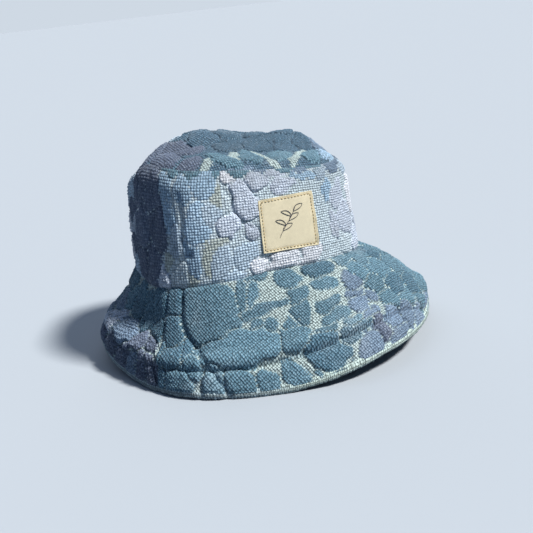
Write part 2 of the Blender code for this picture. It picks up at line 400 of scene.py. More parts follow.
def leaf_depth(across, up, length, width, lean, blunt):
    """Distance in metres inside a leaf's outline (negative outside), and the place along and over it."""
    cos, sin = math.cos(math.radians(lean)), math.sin(math.radians(lean))
    along = (across * cos + up * sin) / (length / 2)
    over = -across * sin + up * cos
    half = width / 2 * (1 - 0.22 * np.clip(along, -1.2, 1.2))
    power = 1 / blunt
    side = np.maximum(np.abs(over) / half, 1e-6)
    level = along**2 + side**power
    slope = np.hypot(4 * along / length, power * side ** (power - 1) / half)
    return (1 - level) / np.maximum(slope, 1.15 / half), along, over


def weave_cells(grain, pitch, seed):
    """Loop number of each point, and a random number for each loop."""
    cell = np.floor(grain / pitch).astype(np.int64)
    mixed = (cell[..., 0] * 73856093) ^ (cell[..., 1] * 19349663) ^ (seed * 83492791)
    mixed = (mixed ^ (mixed >> 13)) * 1274126177 & 0xFFFFFFFF
    return cell, (mixed / 0xFFFFFFFF)


def loop_tops(grain, pitch):
    """1 at the middle of each loop, 0 at its edges."""
    waves = np.cos(math.pi * (grain / pitch - 0.5))
    return np.abs(waves[..., 0] * waves[..., 1])


class Nearest:
    """For each point of a panel: how deep it lies in its own leaf, and in the next one."""

    def __init__(self, shape):
        self.best = np.full(shape, -30 * MM)
        self.second = np.full(shape, -30 * MM)
        self.owner = np.zeros(shape, int)
        self.along = np.zeros(shape)
        self.over = np.zeros(shape)

    def offer(self, where, number, depth, along, over):
        best, second = self.best[where], self.second[where]
        wins = depth > best
        self.second[where] = np.where(wins, best, np.maximum(second, depth))
        self.best[where] = np.where(wins, depth, best)
        self.owner[where] = np.where(wins, number, self.owner[where])
        self.along[where] = np.where(wins, along, self.along[where])
        self.over[where] = np.where(wins, over, self.over[where])

    def inside(self, grow):
        """Distance to the leaf's own edge once leaves have spread until they meet."""
        return np.minimum(self.best + grow, (self.best - self.second) / 2)


# Relief of the sculpted cloth.
GROUND, LOWEST, HIGHEST = -0.3 * MM, -2.2 * MM, 3.4 * MM
LEAF_RISE, LEAF_EDGE = 0.62 * MM, 1.9 * MM  # height for a rise of 1, and how far in it builds up
VEIN, VEIN_HALF = 0.30 * MM, 0.8 * MM
RIB, RIB_PITCH = 0.55 * MM, 3.4 * MM
CREVICE, CREVICE_HALF, FULL_RISE = 1.5 * MM, 0.85 * MM, 2.3  # deepest round leaves of the full rise


def pattern(motifs, offset, grain, pitch, seed):
    """Height in metres, dye and pile of each point of a panel. offset gives distances from a place."""
    cell, chance = weave_cells(grain, pitch, seed)
    # The dye changes loop by loop, so it is read at the middle of each loop.
    nudge = (cell + 0.5) * pitch - grain
    fine, stepped = Nearest(grain.shape[:-1]), Nearest(grain.shape[:-1])
    # Outlines wander, as woven ones do.
    x, y = grain[..., 0] / MM, grain[..., 1] / MM
    drift = 1.3 * np.sin(x / 5.1 + 1.7 * np.sin(y / 7.3)) + 0.7 * np.sin(y / 2.9 + x / 3.7)
    lilt = 1.3 * np.sin(y / 4.7 + 1.9 * np.sin(x / 8.3)) + 0.7 * np.sin(x / 2.7 - y / 4.1)
    for number, (at, centre, length, width, lean, _, _, _, blunt) in enumerate(motifs.shapes):
        away, up = offset(at, centre)
        away, up = away + drift * MM, up + lilt * MM
        reach = (max(length, width) / 2 + 10) * MM
        near = (np.abs(away) < reach) & (np.abs(up) < reach)
        if not near.any():
            continue
        a, b, move = away[near], up[near], nudge[near]
        sizes = (length * MM, width * MM, lean, blunt)
        fine.offer(near, number, *leaf_depth(a, b, *sizes))
        stepped.offer(near, number, *leaf_depth(a + move[:, 0], b + move[:, 1], *sizes))
    rise = np.array([m[6] for m in motifs.shapes])[fine.owner]
    ribs = np.array([m[7] for m in motifs.shapes])[fine.owner]
    inner = fine.inside(motifs.grow)
    cover = smooth(inner, -0.3 * MM, 0.9 * MM)
    swell = rise * LEAF_RISE * (1 - np.exp(-np.maximum(inner, 0) / LEAF_EDGE))
    swell = swell - VEIN * bell(fine.over, 0.0, VEIN_HALF) * (np.abs(fine.along) < 0.8)
    swell = swell + ribs * RIB * np.cos(2 * math.pi * fine.over / RIB_PITCH)
    # A crevice follows each leaf's edge, deeper round the taller ones.
    crevice = CREVICE * np.clip(rise / FULL_RISE, 0, 1) ** 1.5 * bell(inner, 0.0, CREVICE_HALF)
    height = np.clip(GROUND * (1 - cover) + swell * cover - crevice, LOWEST, HIGHEST)
    painted = stepped.inside(motifs.grow) > motifs.line
    tones = np.random.default_rng(seed).uniform(0.86, 1.12, len(motifs.shapes))
    dyes = np.array([DYES[m[5]] * tone for m, tone in zip(motifs.shapes, tones)])
    shade = dyes[stepped.owner] * (0.97 + 0.06 * stepped.along)[..., None]
    colour = np.where(painted[..., None], shade, DYES[motifs.ground])
    shag = np.array([SHAG[m[5]] for m in motifs.shapes])
    pile = np.where(painted, shag[stepped.owner], 0.0)
    # Longer pile stands higher, and less evenly.
    uneven = 0.55 - 0.25 * pile + (0.9 + 0.4 * pile) * chance
    bumps = (0.42 + 0.16 * pile) * MM * loop_tops(grain, pitch) ** 0.8 * uneven
    colour = colour * (0.89 + 0.18 * chance)[..., None]
    return height + bumps, colour, pile


# ---------------------------------------------------------------- mesh helpers


def surface_normals(points, closed):
    """Unit normals of a grid of points, rows first. Points of a row run towards +X at the front."""
    if closed:
        along = np.roll(points, -1, 1) - np.roll(points, 1, 1)
    else:
        along = np.gradient(points, axis=1)
    across = np.gradient(points, axis=0)
    normal = np.cross(along, across)
    return normal / np.maximum(np.linalg.norm(normal, axis=-1, keepdims=True), 1e-12)


def grid_faces(rows, columns, closed, start=0, flip=False, ring=False):
    """Quads of a grid whose rows meet end to end if closed, and whose last row meets the first if ring."""
    lines = np.arange(rows if ring else rows - 1), np.arange(columns if closed else columns - 1)
    r, c = np.meshgrid(*lines, indexing="ij")
    after, above = (c + 1) % columns, (r + 1) % rows
    corners = (r * columns + c, r * columns + after, above * columns + after, above * columns + c)
    quads = np.stack(corners, -1).reshape(-1, 4)
    return ((quads[:, ::-1] if flip else quads) + start).tolist()


def new_mesh(name, points, faces):
    mesh = bpy.data.meshes.new(name)
    mesh.from_pydata(points.reshape(-1, 3).tolist(), [], faces)
    mesh.update()
    return mesh


def cloth_mesh(name, front, back, closed, skip):
    """One closed body: a fine front face, a coarser back face behind it, and the edges between them."""
    rows, columns = front.shape[:2]
    kept = sorted({*range(0, rows, skip), rows - 1})
    points = np.concatenate([front.reshape(-1, 3), back[kept].reshape(-1, 3)])
    start = rows * columns
    faces = grid_faces(rows, columns, closed) + grid_faces(len(kept), columns, closed, start, flip=True)
    last_front, last_rear = (rows - 1) * columns, start + (len(kept) - 1) * columns
    for c in range(columns if closed else columns - 1):
        d = (c + 1) % columns
        faces.append([c, start + c, start + d, d])
        faces.append([last_front + c, last_front + d, last_rear + d, last_rear + c])
    if not closed:
        for c, turn in ((0, False), (columns - 1, True)):
            side = [r * columns + c for r in range(rows)]
            side += [start + r * columns + c for r in reversed(range(len(kept)))]
            faces.append(side[::-1] if turn else side)
    return new_mesh(name, points, faces), kept


def paint(mesh, colour, grain, pile):
    """Dye, weave place in loops and pile of each point, for the materials to read."""
    dye = np.concatenate([colour, np.ones((len(colour), 1))], -1)
    vector = np.concatenate([grain / LOOP, pile], -1)
    layers = ("dye", "FLOAT_COLOR", "color", dye), ("grain", "FLOAT_VECTOR", "vector", vector)
    for label, kind, field, data in layers:
        layer = mesh.attributes.new(label, kind, "POINT")
        layer.data.foreach_set(field, data.astype(np.float32).ravel())


def piece(name, mesh, material):
    mesh.materials.append(material)
    mesh.polygons.foreach_set("use_smooth", [True] * len(mesh.polygons))
    made = bpy.data.objects.new(name, mesh)
    bpy.context.scene.collection.objects.link(made)
    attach(made, "root")
    return made


def panel(name, base, height, colour, grain, pile, material, thick=PANEL_THICK, closed=False, skip=10):
    """A terry panel: its surface moved out by the height, with dye, grain and pile kept on its points."""
    normal = surface_normals(base, closed)
    front = base + normal * height[..., None]
    mesh, kept = cloth_mesh(name, front, base - normal * thick, closed, skip)
    # The back face's points take the values of the front's.
    fields = (
        np.concatenate([data.reshape(-1, data.shape[-1]), data[kept].reshape(-1, data.shape[-1])])
        for data in (colour, grain, pile[..., None])
    )
    paint(mesh, *fields)
    return piece(name, mesh, material)


def plain_panel(name, base, dye, grain, material, thick, skip, closed=False):
    """A sheet without relief, of one dye."""
    colour = np.broadcast_to(DYES[dye], base.shape)
    level = np.zeros(base.shape[:-1])
    return panel(name, base, level, colour, grain, level, material, thick, closed, skip)


# ---------------------------------------------------------------- materials


class Nodes:
    """Small helper that adds nodes to a material and joins them."""

    def __init__(self, name):
        self.material = bpy.data.materials.new(name)
        self.material.use_nodes = True
        self.tree = self.material.node_tree
        self.shader = self.tree.nodes["Principled BSDF"]

    def add(self, kind, **settings):
        node = self.tree.nodes.new(kind)
        for key, value in settings.items():
            setattr(node, key, value)
        return node

    def join(self, source, target):
        self.tree.links.new(source, target)

    def feed(self, socket, value):
        if isinstance(value, bpy.types.NodeSocket):
            self.join(value, socket)
        else:
            socket.default_value = value

    def fill(self, node, **values):
        """Set or join a node's inputs; an underscore stands for a space in an input's name."""
        for name, value in values.items():
            self.feed(node.inputs[name.replace("_", " ")], value)

    def attribute(self, name, output):
        return self.add("ShaderNodeAttribute", attribute_name=name).outputs[output]

    def place(self):
        return self.add("ShaderNodeTexCoord").outputs["Object"]

    def grain(self):
        """Place across and along the weave, in loops, and the pile."""
        parts = self.add("ShaderNodeSeparateXYZ")
        self.join(self.attribute("grain", "Vector"), parts.inputs[0])
        return parts.outputs

    def maths(self, operation, first, second=0.0, third=None):
        node = self.add("ShaderNodeMath", operation=operation)
        self.feed(node.inputs[0], first)
        self.feed(node.inputs[1], second)
        if third is not None:
            self.feed(node.inputs[2], third)
        return node.outputs[0]

    def scaled(self, value, factor, base):
        return self.maths("MULTIPLY_ADD", value, factor, base)

    def vary(self, tone, value, factor, base):
        """The tone times a value that has been scaled and raised by a base."""
        return self.maths("MULTIPLY", tone, self.scaled(value, factor, base))

    def spread(self, value, low, high, to_low=0.0, to_high=1.0):
        node = self.add("ShaderNodeMapRange", interpolation_type="SMOOTHSTEP")
        for socket, number in zip(node.inputs, (value, low, high, to_low, to_high)):
            self.feed(socket, number)
        return node.outputs["Result"]

    def noise(self, where, scale, detail=3.0, roughness=0.55):
        node = self.add("ShaderNodeTexNoise")
        self.fill(node, Vector=where, Scale=scale, Detail=detail, Roughness=roughness)
        return node.outputs["Fac"]

    def mix(self, kind, share, first, second):
        node = self.add("ShaderNodeMix", data_type="RGBA", blend_type=kind)
        self.fill(node, Factor=share, A=first, B=second)
        return node.outputs["Result"]

    def shaded(self, colour, tone):
        """The colour darkened or lightened by a tone."""
        node = self.add("ShaderNodeCombineColor")
        for socket in node.inputs:
            self.join(tone, socket)
        return self.mix("MULTIPLY", 1.0, colour, node.outputs[0])

    def bump(self, height, distance, strength=1.0, onto=None):
        node = self.add("ShaderNodeBump")
        self.fill(node, Strength=strength, Distance=distance, Height=height)
        if onto is not None:
            self.fill(node, Normal=onto)
        return node.outputs[0]

    def finish(self, colour, roughness, normal, sheen=0.0, specular=0.2):
        self.fill(self.shader, Base_Color=colour, Roughness=roughness, Normal=normal, Metallic=0.0)
        self.fill(self.shader, Specular_IOR_Level=specular, Sheen_Weight=sheen, Sheen_Roughness=0.45)
        return self.material


def colour4(value):
    return (*(float(v) for v in value), 1.0)


def terry_material(name, contrast, ratio=1.0):
    """Towelling: the panel's own dye, loops on its grain with dark gaps between them (the ground yarn,
    deepened by painted shade), painted highlights on some loops, and stray fibre.
    """
    n = Nodes(name)
    across, along, pile = n.grain()
    # Each loop leans its own way, and longer pile strays further, so the grid isn't perfect.
    place = n.place()
    wander = n.maths("SUBTRACT", n.noise(place, 420.0, 2.0), 0.5)
    sway = n.vary(wander, pile, 0.9, 0.35)
    centred = n.add("ShaderNodeCombineXYZ")
    for k, (source, change) in enumerate(((across, "ADD"), (along, "SUBTRACT"))):
        swayed = n.maths(change, n.maths("MULTIPLY", source, ratio), sway)
        n.join(n.maths("SUBTRACT", swayed, 0.5 - JITTER / 2), centred.inputs[k])
    cells = n.add("ShaderNodeTexVoronoi", voronoi_dimensions="2D", feature="F1")
    n.fill(cells, Vector=centred.outputs[0], Scale=1.0, Randomness=JITTER)
    away = cells.outputs["Distance"]
    own = n.add("ShaderNodeSeparateColor")
    n.join(cells.outputs["Color"], own.inputs[0])
    chance = own.outputs[0]
    loop = n.spread(away, 0.22, 0.62, 1.0, 0.0)
    fibre = n.noise(place, 1500.0, 4.0, 0.7)
    tuft = n.noise(place, 520.0, 3.0, 0.6)
    patch = n.noise(place, 26.0, 3.0)
    # The gaps between loops are darkened, partly the ground yarn and partly painted shade; raised areas are
    # fuller and closer, so their gaps show less than the ground's.
    tone = n.maths("POWER", n.spread(loop, 0.0, 0.8, n.scaled(pile, 0.26, 0.28), 1.15), contrast)
    changes = (chance, 0.26, 0.84), (fibre, 0.50, 0.76), (tuft, 0.50, 0.76), (patch, 0.30, 0.85)
    for value, factor, base in changes:
        tone = n.vary(tone, value, factor, base)
    colour = n.shaded(n.attribute("dye", "Color"), tone)
    # Worn tips of the loops have gone paler in patches, and the middles of some loops are lightened as a
    # painted highlight.
    worn = n.maths("MULTIPLY", n.spread(patch, 0.50, 0.75, 0.0, 0.26), loop)
    loop_highlight = n.maths("MULTIPLY", n.spread(away, 0.05, 0.26, 0.34, 0.0), n.spread(chance, 0.2, 0.8))
    colour = n.mix("MIX", n.maths("MAXIMUM", worn, loop_highlight), colour, colour4(srgb(208, 214, 216)))
    height = n.scaled(tuft, 0.45, n.maths("MULTIPLY", loop, 0.8))
    normal = n.bump(fibre, 0.30 * MM, 0.7, n.bump(height, 1.0 * MM, 0.8))
    return n.finish(colour, n.scaled(fibre, 0.12, 0.86), normal, sheen=0.12, specular=0.12)


def weave_material(name, colour, pitch, depth, sheen=0.05, twill=False):
    """Flat woven cloth: over and under threads, uneven yarn and faint blotches."""
    n = Nodes(name)
    place = n.place()
    finer = n.add("ShaderNodeVectorMath", operation="SCALE")
    n.join(place, finer.inputs[0])
    n.fill(finer, Scale=1 / pitch)
    across, along, _ = (n.maths("MULTIPLY", part, 2 * math.pi * LOOP / pitch) for part in n.grain())
    if twill:
        along = n.maths("ADD", along, across)
    thread = n.scaled(n.maths("MULTIPLY", n.maths("SINE", across), n.maths("SINE", along)), 0.5, 0.5)
    yarn = n.noise(finer.outputs[0], 0.9, 3.0)
    tone = n.vary(n.scaled(thread, 0.18, 0.84), yarn, 0.24, 0.88)
    tone = n.vary(tone, n.noise(place, 35.0, 3.0), 0.20, 0.90)
    shade = n.shaded(colour4(colour), tone)
    height = n.scaled(yarn, 0.5, thread)
    return n.finish(shade, n.scaled(yarn, 0.14, 0.74), n.bump(height, depth, 0.8), sheen)


def thread_material(name, colour):
    """Sewing thread: fine twist along its length and a slight gloss."""
    n = Nodes(name)
    place = n.place()
    twist = n.add("ShaderNodeTexWave", wave_type="BANDS", bands_direction="DIAGONAL")
    n.fill(twist, Vector=place, Scale=900.0, Distortion=1.5)
    fuzz = n.noise(place, 2600.0, 3.0)
    shade = n.shaded(colour4(colour), n.scaled(twist.outputs["Fac"], 0.3, n.scaled(fuzz, 0.3, 0.6)))
    normal = n.bump(twist.outputs["Fac"], 0.15 * MM, 0.8)
    return n.finish(shade, n.scaled(fuzz, 0.2, 0.5), normal, sheen=0.1, specular=0.35)


# ---------------------------------------------------------------- the woven pattern's leaves

# Rows are: place in degrees and share, length and width in millimetres, lean in degrees, dye, how far the
# leaf stands up, then bluntness (0.5 if left out) and whether it is ribbed.
# fmt: off
# Petals darkened as painted shade at its far left, blue and cream at the corner, pale petals round the
# label, and last the top's own leaves that hang over the shoulder, so that no straight line shows there.
FRONT_BAND = (
    (-88, 0.82, 48, 34, 20, "dusk", 1.4), (-85, 0.5, 46, 34, 60, "dusk", 1.6),
    (-87, 0.17, 42, 34, 100, "dusk", 1.6), (-72, 0.82, 44, 30, 100, "dusk", 1.2),
    (-68.5, 0.5, 44, 27, 84, "dusk", 1.6), (-74, 0.17, 40, 28, 75, "dusk", 1.6),
    (-66.5, 0.09, 20, 18, 100, "lilac", 2.6, 0.5, 1), (-60, 0.86, 32, 18, 95, "blue", 0.9),
    (-58, 0.62, 34, 15, 90, "blue", 0.8), (-55, 0.4, 26, 15, 80, "peri", 0.8),
    (-60, 0.22, 14, 16, 20, "cream", 0.5), (-54, 0.12, 20, 20, 40, "ice", 0.8),
    (-48.5, 0.07, 14, 12, 110, "cream", 0.4, 0.75), (-43, 0.55, 34, 20, 86, "blue", 0.35),
    (-47, 0.24, 34, 12, 96, "blue", 0.35), (-38, 0.9, 26, 22, 80, "blue", 0.4),
    (-49, 0.86, 24, 14, 90, "blue", 0.4), (-36, 0.62, 18, 14, 60, "peri", 0.35),
    (-39.5, 0.22, 32, 9, 96, "cream", 0.2, 0.75), (-33, 0.76, 30, 7, 84, "cream", 0.2, 0.75),
    (-34, 0.36, 22, 9, 30, "cream", 0.2, 0.75), (-33.5, 0.17, 30, 16, 62, "peri", 0.9, 0.55),
    (-22.5, 0.21, 28, 20, 30, "peri", 0.9), (-29, 0.04, 18, 10, 0, "peri", 0.6, 0.75),
    (-28.5, 0.51, 22, 16, 60, "lilac", 2), (-26.5, 0.95, 14, 13, 40, "white", 2),
    (-20, 0.71, 36, 21, 108, "lilac", 2.4), (-12, 0.9, 24, 15, 10, "lilac", 1.8),
    (-19, 0.43, 14, 11, 120, "lilac", 1.6), (-15, 0.08, 20, 13, 20, "white", 2),
    (-4, 0.085, 40, 17, 3, "white", 2.2, 0.45), (10, 0.11, 26, 15, 25, "white", 1.6),
    (2, 0.83, 26, 13, 12, "lilac", 1), (14.5, 0.905, 22, 7.5, -6, "blue", 0.6, 0.35),
    (0, 0.96, 26, 8, 0, "lilac", 1.2, 0.75), (26.5, 0.73, 22, 7, 78, "blue", 0.6, 0.45),
    (26, 0.93, 24, 9, 25, "peri", 1, 0.75), (33, 0.66, 26, 20, 70, "lilac", 1.2),
    (38, 0.4, 34, 26, 90, "lilac", 1.2), (28, 0.36, 26, 10, 85, "lilac", 1),
    (35, 0.12, 24, 14, 20, "ice", 1.2), (46, 0.14, 26, 16, 60, "lilac", 1.6),
    (50, 0.62, 36, 24, 90, "white", 1.6), (56, 0.34, 30, 22, 60, "lilac", 1.6),
    (48, 0.92, 30, 14, 10, "peri", 1.2, 0.75), (66, 0.66, 34, 22, 100, "lilac", 1.6),
    (70, 0.2, 34, 22, 30, "white", 1.6), (72, 0.92, 30, 14, 0, "peri", 1.2, 0.75),
    (82, 0.44, 36, 22, 75, "lilac", 1.8), (86, 0.14, 22, 20, 75, "peri", 1.2),
    (86, 0.86, 26, 20, 20, "lilac", 1.4), (-58, 0.985, 22, 11, 10, "teal", 1),
    (-44, 1, 26, 12, 0, "teal", 1), (-33, 0.96, 15, 9, 60, "teal", 1), (-21, 1, 26, 14, 8, "teal", 1),
    (-8, 0.985, 18, 8, -12, "haze", 1), (5, 1, 24, 10, 4, "teal", 1), (15, 0.975, 16, 8, 40, "haze", 1),
    (25, 1, 24, 9, -6, "teal", 1), (36, 0.965, 20, 13, 30, "haze", 1), (48, 0.99, 26, 12, 4, "haze", 1),
    (62, 0.98, 26, 12, -6, "haze", 1), (76, 0.99, 26, 12, 4, "haze", 1),
)

# Petals darkened as painted shade that carry on the front's behind the left side seam.
REAR_BAND = (
    (-95, 0.8, 36, 26, 70, "dusk", 1.6), (-96, 0.47, 34, 26, 100, "dusk", 1.6),
    (-94, 0.17, 32, 24, 20, "dusk", 1.6), (-108, 0.66, 34, 24, 60, "dusk", 1.6),
    (-109, 0.3, 34, 24, 110, "dusk", 1.6),
)

# Teal leaves on a pale ground, with blue petals to the right and under the fold; under the fold the petals
# are darker and the pale ground scarcely shows, as painted shade for the fold's shadow.
FRONT_BRIM = (
    (-58, 0.12, 30, 20, 95, "deep", 1.6), (-57, 0.42, 34, 18, 88, "deep", 1.6),
    (-55, 0.68, 26, 22, 70, "deep", 1.6), (-52.5, 0.91, 26, 24, 80, "teal", 1.8),
    (-50, 0.62, 24, 13, 72, "deep", 1.2), (-47.5, 0.78, 22, 14, 62, "teal", 1.2),
    (-61, 0.7, 26, 14, 84, "deep", 1.4), (-60, 0.92, 24, 14, 80, "deep", 1.4),
    (-42.5, 0.25, 52, 41, 104, "teal", 2), (-27.4, 0.13, 30, 6, 78, "teal", 0.8, 0.7),
    (-22.4, 0.13, 24, 6, 72, "teal", 0.8, 0.7), (-19.5, 0.02, 18, 8, 20, "teal", 0.8, 0.6),
    (-21, 0.315, 50, 9, 8, "teal", 1, 0.8), (-19.5, 0.455, 12, 8, 35, "teal", 0.8),
    (-24, 0.435, 10, 6, -30, "teal", 0.7), (-31.5, 0.62, 60, 27, 2, "teal", 2, 0.55),
    (-13, 0.62, 28, 22, 8, "teal", 1.6, 0.6), (-12.5, 0.5, 20, 9, 35, "teal", 0.9, 0.7),
    (-5.5, 0.095, 19, 15, -10, "teal", 1.2), (-4.5, 0.26, 20, 13, 10, "teal", 1.2, 0.55),
    (-6.5, 0.42, 19, 13, 55, "teal", 1.2, 0.55), (11.2, 0.075, 31, 15, 3, "deep", 1.8),
    (8.5, 0.235, 21, 8, -4, "teal", 1, 0.6), (4.5, 0.43, 22, 9.5, 14, "teal", 1.2, 0.55),
    (4.5, 0.555, 28, 10, 10, "teal", 1.2, 0.6), (-3, 0.66, 24, 8, 6, "teal", 1, 0.6),
    (8, 0.665, 16, 7, 10, "teal", 1, 0.6), (20, 0.29, 24, 13, 62, "haze", 2),
    (17, 0.41, 18, 8, 15, "haze", 1.2, 0.6), (15.5, 0.55, 22, 13, 20, "haze", 2),
    (22, 0.5, 16, 10, 60, "haze", 1.4), (15, 0.655, 20, 7, 10, "haze", 1.6),
    (27.5, 0.05, 18, 12, -10, "teal", 1.2), (27.5, 0.22, 22, 15, 80, "teal", 1.2),
    (27.5, 0.42, 24, 17, 70, "teal", 1.4), (28.5, 0.61, 22, 15, 30, "teal", 1.4),
    (39, 0.08, 24, 20, 20, "teal", 1.4), (38.5, 0.3, 26, 21, 70, "teal", 1.4),
    (38, 0.53, 26, 19, 40, "deep", 1.4), (37, 0.72, 24, 15, 20, "teal", 1.4),
    (51, 0.14, 26, 22, 80, "deep", 1.4), (50, 0.4, 30, 24, 70, "teal", 1.6),
    (49, 0.66, 30, 24, 50, "deep", 1.6), (61, 0.26, 28, 20, 85, "teal", 1.4),
    (60, 0.55, 30, 22, 80, "teal", 1.6), (59, 0.86, 32, 24, 20, "teal", 1.6),
    (-40.5, 0.9, 24, 15, 78, "teal", 1.8), (-33, 0.91, 24, 17, 106, "teal", 2),
    (-24.5, 0.94, 20, 14, 110, "teal", 1.6), (-16.5, 0.92, 22, 13, 120, "teal", 1.6),
    (-5, 0.84, 30, 26, 110, "deep", 2), (-5, 0.97, 26, 7, 0, "teal", 1), (9, 0.93, 24, 13, 30, "haze", 2.2),
    (6.5, 0.76, 30, 10, 4, "deep", 1.4, 0.6), (15.5, 0.82, 22, 14, 80, "dusk", 2.4),
    (20.5, 0.95, 26, 10, 10, "haze", 2.2), (22.5, 0.81, 24, 15, 60, "haze", 2.6),
    (31, 0.84, 28, 17, 40, "haze", 2.6), (35.5, 0.95, 30, 14, 10, "haze", 2.4),
    (44, 0.86, 28, 16, 30, "teal", 2), (48, 0.97, 26, 12, 5, "haze", 1.8),
)

# Behind the left seam: plain leaves near the crown, then ribbed, deeply sculpted petals, most of them
# darkened as painted shade.
REAR_BRIM = (
    (-68, 0.18, 34, 20, 85, "deep", 1.6), (-78, 0.3, 40, 24, 95, "deep", 1.8),
    (-91, 0.22, 40, 26, 80, "deep", 1.8), (-66.5, 0.42, 22, 13, 90, "deep", 1.6),
    (-65.3, 0.86, 36, 10, 96, "dusk", 3.4, 0.5, 1), (-71, 0.87, 30, 12, 66, "dusk", 3.4, 0.5, 1),
    (-76.8, 0.9, 28, 12, 62, "haze", 3.4, 0.5, 1), (-84, 0.91, 28, 14, 64, "dusk", 3.2, 0.5, 1),
    (-67.5, 0.61, 20, 10, 120, "dusk", 3.2, 0.5, 1), (-74.5, 0.62, 24, 17, 80, "dusk", 3.4, 0.5, 1),
    (-87, 0.62, 34, 26, 10, "haze", 3.2, 0.5, 1), (-92, 0.9, 28, 20, 70, "dusk", 3, 0.5, 1),
    (-102, 0.66, 34, 24, 60, "lilac", 2.8, 0.5, 1), (-104, 0.92, 30, 20, 80, "dusk", 2.6, 0.5, 1),
    (-106, 0.3, 36, 26, 80, "teal", 2),
)

# The top's leaves, their places in millimetres from its middle; the darker lilac ones on its left are painted
# shade.
TIP = (
    (-37, 46, 40, 26, 75, "dusk", 2.6), (-39, 2, 56, 26, 68, "dusk", 2.4),
    (-66, 22, 44, 30, 100, "dusk", 2.8), (-68, -22, 40, 24, 70, "dusk", 2.6),
    (-60, -52, 30, 16, 40, "dusk", 2.2), (-48, 70, 34, 20, 20, "dusk", 2.2),
    (-31, -55, 42, 18, 105, "teal", 1.8), (-49, -62, 28, 5, 60, "mint", 0.3),
    (-19, -48, 44, 4.5, 76, "mint", 0.3), (-27, -74, 20, 8, 10, "haze", 0.3),
    (-7, -50, 36, 15, 82, "teal", 1.6), (4, -60, 38, 4.5, 96, "mint", 0.3),
    (18, -54, 34, 18, 50, "teal", 1.8), (32, -57, 44, 4.5, 52, "mint", 0.3),
    (46, -56, 34, 17, 52, "teal", 1.6), (64, -50, 38, 18, 58, "blue", 1.6),
    (74, -18, 40, 18, 80, "haze", 1.6), (60, -14, 44, 18, 62, "slate", 1.6),
    (40, -20, 50, 20, 66, "slate", 1.8), (16, -14, 50, 22, 66, "slate", 1.8),
    (-8, -10, 56, 22, 72, "slate", 1.8), (-10, 40, 60, 24, 80, "slate", 2),
    (14, 44, 56, 22, 70, "slate", 2), (38, 34, 54, 22, 66, "slate", 2), (62, 30, 46, 20, 72, "slate", 1.8),
    (2, 74, 40, 16, 4, "slate", 1.6), (40, 68, 38, 16, -20, "slate", 1.6),
    (-20, 78, 30, 12, 6, "peri", 1.6),
)
# fmt: on


def front_band_motifs():
    m = Motifs("ice", 0.8, 0.2)
    m.leaves(FRONT_BAND)
    return m


def rear_band_motifs():
    m = Motifs("ice", 1.6, 0.2)
    m.scatter(92, 268, 11, ["peri", "lilac", "blue", "white", "peri", "lilac"], 27)
    m.leaves(REAR_BAND)
    m.rosette(150, 0.5, 20, 6, "lilac", 2.4)
    m.rosette(212, 0.45, 21, 6, "white", 2.4)
    return m


def front_brim_motifs():
    m = Motifs("mint", 1.3, 0.35)
    m.scatter(67, 117, 5, ["teal", "teal", "deep", "haze"], 29)
    # The leaves lie closer together under the fold and towards both sides; under the fold this hides the pale
    # ground, as painted shade.
    m.leaves(FRONT_BRIM, lambda at, share: 1.18 if share > 0.7 or abs(at - 1) > 25 else 1.0)
    return m


def rear_brim_motifs():
    m = Motifs("mint", 3.0, 0.4)
    m.scatter(119, 250, 23, ["teal", "deep", "teal", "haze", "teal", "peri"], 31)
    m.leaves(REAR_BRIM)
    return m


def tip_motifs():
    m = Motifs("slate", 1.4, 0.1)
    m.leaves(TIP)
    return m


# ---------------------------------------------------------------- terry panels


def panel_grid(first, last, columns, shares):
    return np.meshgrid(np.linspace(first, last, columns), shares)


def cone_grain(angle, middle, radius):
    """Straight grain of a brim panel, read on the flat cut that makes its cone."""
    far = radius / BRIM_LEAN
    turn = turned(angle - middle) * BRIM_LEAN
    return np.stack([far * np.sin(turn), far * np.cos(turn)], -1)


def under_label(angle, share):
    """1 where the label presses the pile flat, 0 away from it."""
    across = np.abs(turned(angle - LABEL_MIDDLE)) * LABEL_RADIUS
    up = np.abs(share - LABEL_SHARE) * CROWN_RISE
    rim = -2.0 * MM, 1.0 * MM
    return smooth(LABEL_HALF - across, *rim) * smooth(LABEL_HALF - up, *rim)


def sewn_panel(name, base, ends, rim, sink, found, grain, material):
    """A terry panel that thins out towards its seams and is drawn in at its two ends."""
    height, colour, pile = found
    fade = smooth(rim, 0.0, 0.045) * (0.35 + 0.65 * smooth(ends, 0.0, 3 * MM))
    height = height * (0.25 + 0.75 * fade) - sink * bell(ends, 0.0, 1.6 * MM)
    return panel(name, base, height, colour, grain, pile, material)


def band_panel(side, first, last, motifs, seed, material):
    rows = np.linspace(-0.012, 1, detail(156, 80))
    angle, share = panel_grid(first, last, detail(520, 260), rows)
    radius, _ = head_ring(angle)
    grain = np.stack([angle * HEAD_RADIUS * 0.96, share * CROWN_RISE], -1)
    height, colour, pile = pattern(
        motifs,
        lambda at, up: (turned(angle - math.radians(at)) * radius, (share - up) * CROWN_RISE),
        grain,
        LOOP,
        seed,
    )
    # Painted shade: the shoulder, where the side rolls in to the top's seam, is darkened.
    colour = colour * (1 - 0.26 * smooth(share, 0.76, 0.97))[..., None]
    if side == "front":
        height = height * (1 - 0.8 * under_label(angle, share))
    ends = np.minimum(angle - first, last - angle) * HEAD_RADIUS
    found = height, colour, pile
    name, base, rim = f"side_band_{side}_terry", band_surface(angle, share), np.minimum(share, 1 - share)
    made = sewn_panel(name, base, ends, rim, 1.6 * MM, found, grain, material)
    return made


